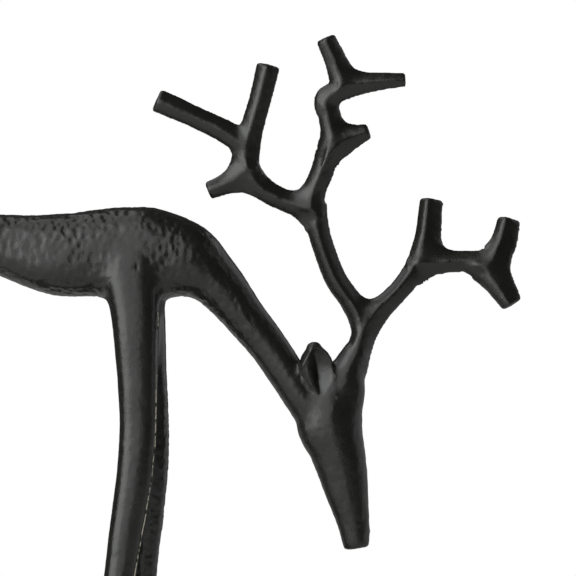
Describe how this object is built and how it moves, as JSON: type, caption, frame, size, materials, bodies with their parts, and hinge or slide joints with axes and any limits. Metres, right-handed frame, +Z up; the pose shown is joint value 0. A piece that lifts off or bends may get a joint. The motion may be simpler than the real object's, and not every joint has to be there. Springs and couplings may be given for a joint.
{
  "type": "stag statue",
  "caption": "Cast iron stag with lowered head and branching antlers, standing on a low plain base.",
  "frame": {"origin": "middle of the base's underside", "axes": "+X towards the stag's head and along the base, +Z up, -Y the side that is seen first"},
  "size_m": [0.5042, 0.108, 0.4491],
  "materials": {
    "stag_iron": "satin black over the cast surface",
    "base_iron": "satin black over the cast surface"
  },
  "bodies": {
    "root": {"stag": "stag_iron", "base": "base_iron"}
  },
  "joints": []
}
